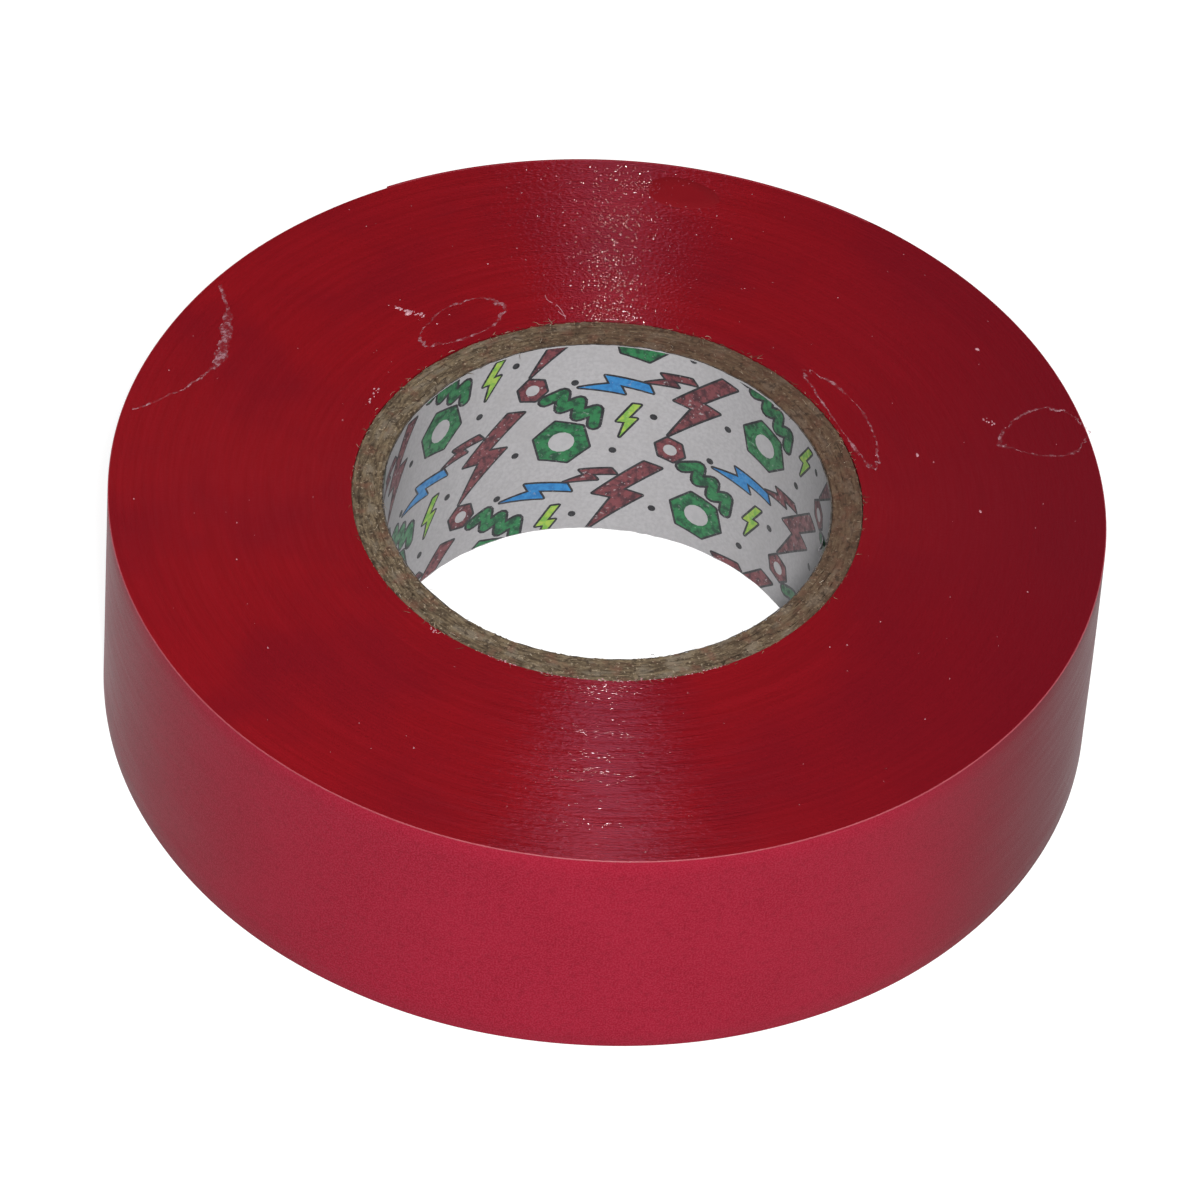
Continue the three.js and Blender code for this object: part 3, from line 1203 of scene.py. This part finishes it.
def proud_turns(gleaming, beaded):
    """Lengths of turn that stand proud of the rest, long in front and short behind."""
    rng = np.random.default_rng(75)
    count = 420
    ringed = rng.choice(PROUD_TURNS, count) + rng.normal(0, 0.12, count)
    anywhere = rng.uniform(CORE_RADIUS + 0.3, ROOT_RADIUS - 0.4, count)
    radius = np.where(rng.random(count) < 0.7, ringed, anywhere)
    azimuth = rng.normal(SHINE_FRONT - 1.0, 4.8, count)
    length = 0.15 + 1.0 * rng.random(count) ** 3
    breadth = rng.uniform(0.03, 0.055, count)
    domes("proud_turns_front", radius, azimuth, length, breadth, breadth * 0.32, gleaming, 76,
          STRAIGHT_SIDED)
    count = 1250
    spots = np.array(PROUD_SPOTS)[rng.integers(0, len(PROUD_SPOTS), count)]
    grouped = rng.random(count) < 0.5
    radius = np.where(grouped, spots[:, 0] + rng.normal(0, 0.5, count),
                      rng.uniform(CORE_RADIUS + 0.4, ROOT_RADIUS - 0.6, count))
    azimuth = np.where(grouped, spots[:, 1] + rng.normal(0, 2.2, count),
                       rng.normal(SHINE_BACK, 4.0, count))
    radius = np.clip(radius, CORE_RADIUS + 0.3, ROOT_RADIUS - 0.3)
    breadth = 0.12 + 0.19 * rng.random(count) ** 2
    domes("proud_turns_back", radius, azimuth, breadth * rng.uniform(1, 1.6, count), breadth,
          breadth * 0.32, beaded, 77, STRAIGHT_SIDED)


# ---- studio

def floor(paint):
    half, z = 3000.0, -0.02  # just under the roll
    corners = [(-half, -half, z), (half, -half, z), (half, half, z), (-half, half, z)]
    plane = make_piece("floor", corners, [[0, 1, 2, 3]], [paint])
    plane.visible_diffuse = False


MIDDLE = Vector((0.0, 0.0, 0.0095))  # of the roll, in metres


def lamp(name, place, size, power, mirrored=True):
    """A round softbox. One that isn't mirrored gives light but no reflection."""
    data = bpy.data.lights.new(name, "AREA")
    data.shape, data.size, data.energy = "DISK", size, power
    made = bpy.data.objects.new(name, data)
    made.location = place
    made.rotation_euler = (MIDDLE - Vector(place)).to_track_quat("-Z", "Y").to_euler()
    made.visible_glossy = mirrored
    bpy.context.scene.collection.objects.link(made)


def studio():
    lamp("camera_side_lamp", (0.044, -0.50, 0.56), 0.07, 8.0)
    lamp("overhead_softbox", (0.0, 0.4, 1.1), 1.0, 1.2, mirrored=False)
    lamp("left_back_softbox", (-0.45, 0.75, 0.45), 0.5, 1.8, mirrored=False)
    lamp("right_back_softbox", (0.45, 0.75, 0.45), 0.5, 1.5, mirrored=False)
    lamp("left_softbox", (-0.9, -0.2, 0.7), 0.6, 0.38)
    lamp("right_softbox", (0.9, -0.2, 0.7), 0.6, 0.08)
    world = bpy.data.worlds.new("room")
    world.use_nodes = True
    background = world.node_tree.nodes["Background"]
    background.inputs["Color"].default_value = color(0.9, 0.92, 1.0)
    background.inputs["Strength"].default_value = 0.05
    bpy.context.scene.world = world
    bpy.context.scene.view_settings.view_transform = "Standard"


CAMERA_DISTANCE = 712.0
CAMERA_ELEVATION = 45.5
CAMERA_PITCH = -0.49
CAMERA_ROLL = 4.23
LENS = 293.4
SENSOR = 36.0


def camera():
    """Looks at the middle of the bottom face, then pitched and rolled a little."""
    tilt = math.radians(CAMERA_ELEVATION)
    forward = Vector((0, math.cos(tilt), -math.sin(tilt)))
    level = Matrix(((1, 0, 0), (0, -math.sin(tilt), -math.cos(tilt)), forward))
    turned = Matrix.Rotation(math.radians(CAMERA_ROLL), 3, "Z")
    turned = turned @ Matrix.Rotation(math.radians(CAMERA_PITCH), 3, "X") @ level
    axes = Matrix((turned[0], -turned[1], -turned[2])).transposed()
    data = bpy.data.cameras.new("camera")
    data.lens, data.sensor_width = LENS, SENSOR
    data.clip_start, data.clip_end = 0.01, 20.0
    made = bpy.data.objects.new("camera", data)
    made.matrix_world = Matrix.Translation(forward * -CAMERA_DISTANCE * MM) @ axes.to_4x4()
    bpy.context.scene.collection.objects.link(made)
    bpy.context.scene.camera = made


# ---- all together

edge_vinyl = turn_edge_vinyl("turn_edge_vinyl", 0.0)
face_vinyl = film_vinyl()
rolled_vinyl = rolled_edge_vinyl()
wound_tape(edge_vinyl, face_vinyl, rolled_vinyl)
free_end([edge_vinyl, face_vinyl, adhesive_face(), rolled_vinyl])
core(chipboard())
board_fibre = loose_fibre()
loose_fibres("core_fuzz_top", 520, HEIGHT, 1, 81, board_fibre)
loose_fibres("core_fuzz_bottom", 260, 0.0, -1, 82, board_fibre)
white_paper = liner_paper()
printed_liner(white_paper, paper_edge())
liner_print()
liner_tear(white_paper)
top_marks(glue_residue())
smooth_patch(rubbed_vinyl())
proud_turns(turn_edge_vinyl("gleaming_vinyl", 0.65), turn_edge_vinyl("beaded_vinyl", 1.0))
dust = pale_dust()
specks(dust)
crumbs(dust)
stray_fibres(dust)
floor(light_table())
studio()
camera()
